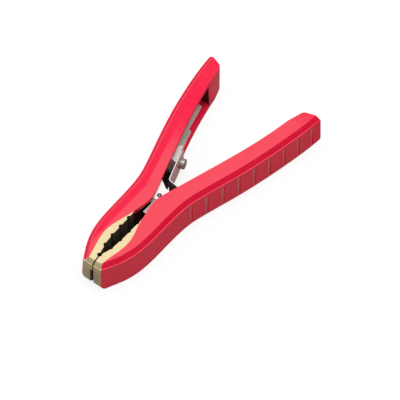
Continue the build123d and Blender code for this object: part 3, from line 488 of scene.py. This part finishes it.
def strip_mesh(path, half_height):
    """A closed mesh of the strip, smooth over its bends and sharp at its edges."""
    shape = bmesh.new()
    rings = strip_rings(shape, path, half_height)
    for one, two in zip(rings, rings[1:]):
        for k in range(len(one)):
            n = (k + 1) % len(one)
            shape.faces.new((one[k], one[n], two[n], two[k]))
    shape.faces.new(rings[0][::-1])
    shape.faces.new(rings[-1])
    bmesh.ops.recalc_face_normals(shape, faces=shape.faces[:])
    mesh = bpy.data.meshes.new("spring_strip")
    shape.to_mesh(mesh)
    shape.free()
    for face in mesh.polygons:
        face.use_smooth = True
    mesh.set_sharp_from_angle(angle=SPRING_SHARP)
    return mesh


def spring_strip():
    """The leaf spring, drawn in place of main_spring; it bends between the fixed arm and the lever."""
    low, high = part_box("main_spring")
    mesh = strip_mesh(bent_path(SPRING_LINE), (high.z - low.z) / 2)
    mesh.materials.append(spring_steel())
    piece = bpy.data.objects.new("spring_strip", mesh)
    bpy.context.scene.collection.objects.link(piece)
    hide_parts("main_spring")
    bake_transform(piece)


spring_strip()


# ---------------------------------------------------------------- camera, floor and light
AZIMUTH = math.radians(52.263)
ELEVATION = math.radians(53.086)
DISTANCE = 2.5
TARGET = Vector((99.2 * MM, 0, TOP_Z))
MIDDLE = Vector((0.1, 0, 0))
AIM_RIGHT = 20.54 * MM
AIM_DOWN = 19.19 * MM
FIELD = 0.3284                          # width in view at the target
SENSOR = 36
FAR_CLIP = 50
FLOOR_SIZE = 8
FLOOR_GAP = 0.2 * MM
FLOOR_GREY = grey(0.16)
FLOOR_BOUNCE = (0.44, 0.42, 0.41)
FLOOR_GLOW = 0.86
SKY_HORIZON, SKY_OVERHEAD = 0.20, 0.70
SKY_FULL_FROM = 0.75


def place_camera():
    """Looks down at the part from beyond its jaws and from the fixed arm's side."""
    right = Vector((math.cos(AZIMUTH), -math.sin(AZIMUTH), 0))
    ahead = Vector((math.sin(AZIMUTH), math.cos(AZIMUTH), 0))
    up = math.sin(ELEVATION) * ahead + math.cos(ELEVATION) * Vector((0, 0, 1))
    back = right.cross(up)
    camera = bpy.data.objects.new("camera", bpy.data.cameras.new("camera"))
    bpy.context.scene.collection.objects.link(camera)
    camera.location = TARGET + back * DISTANCE
    aim = TARGET + right * AIM_RIGHT - up * AIM_DOWN
    level = Matrix((right, up, back)).transposed().to_quaternion()
    camera.rotation_mode = "QUATERNION"
    camera.rotation_quaternion = (-back).rotation_difference(aim - camera.location) @ level
    camera.data.sensor_width = SENSOR
    camera.data.lens = SENSOR * DISTANCE / FIELD
    camera.data.clip_end = FAR_CLIP
    bpy.context.scene.camera = camera


def floor_material():
    """Pale paper that glows white to the camera and bounces little light back at the object."""
    s = Shader("floor_paper")
    grain = s.ramp(s.noise(40), 0.3, 0.7, 0.97, 1.0)
    tint = s.new("CombineColor", {0: grain, 1: grain, 2: grain})
    paper = s.new("BsdfDiffuse", {"Color": s.mix(1.0, FLOOR_GREY, tint, "MULTIPLY")})
    glow = s.new("Emission", {"Color": grey(1), "Strength": FLOOR_GLOW})
    seen = s.new("AddShader", {0: paper, 1: glow})
    dim = s.new("BsdfDiffuse", {"Color": FLOOR_BOUNCE})
    camera_ray = s.new("LightPath")
    s.set(s.output.inputs["Surface"], s.new("MixShader", {0: camera_ray, 1: dim, 2: seen}))
    return s.material


def studio_floor():
    """A sheet of the floor's paper just under the part."""
    bpy.ops.mesh.primitive_plane_add(size=FLOOR_SIZE, location=(MIDDLE.x, 0, body_low.z - FLOOR_GAP))
    floor = bpy.context.object
    floor.name = "floor"
    floor.data.materials.append(floor_material())


def studio_sky():
    """White from overhead, fading towards the horizon."""
    world = bpy.data.worlds.new("studio")
    world.use_nodes = True
    tree = world.node_tree
    where = tree.nodes.new("ShaderNodeTexCoord").outputs["Generated"]
    split = tree.nodes.new("ShaderNodeSeparateXYZ")
    fade = tree.nodes.new("ShaderNodeMapRange")
    fade.inputs["From Min"].default_value = 0.0
    fade.inputs["From Max"].default_value = SKY_FULL_FROM
    fade.inputs["To Min"].default_value = SKY_HORIZON
    fade.inputs["To Max"].default_value = SKY_OVERHEAD
    tree.links.new(where, split.inputs[0])
    tree.links.new(split.outputs["Z"], fade.inputs["Value"])
    tree.links.new(fade.outputs[0], tree.nodes["Background"].inputs["Strength"])
    tree.nodes["Background"].inputs["Color"].default_value = (1, 1, 1, 1)
    bpy.context.scene.world = world


def soft_light(name, place, size, power):
    """Square area light that points at the middle of the object."""
    lamp = bpy.data.lights.new(name, "AREA")
    lamp.size = size
    lamp.energy = power
    made = bpy.data.objects.new(name, lamp)
    bpy.context.scene.collection.objects.link(made)
    made.location = place
    made.rotation_mode = "QUATERNION"
    made.rotation_quaternion = (MIDDLE - Vector(place)).to_track_quat("-Z", "Y")


place_camera()
studio_floor()
studio_sky()
soft_light("overhead", (0.25, 0.1, 1.6), size=1.0, power=12)
bpy.context.scene.view_settings.view_transform = "Standard"
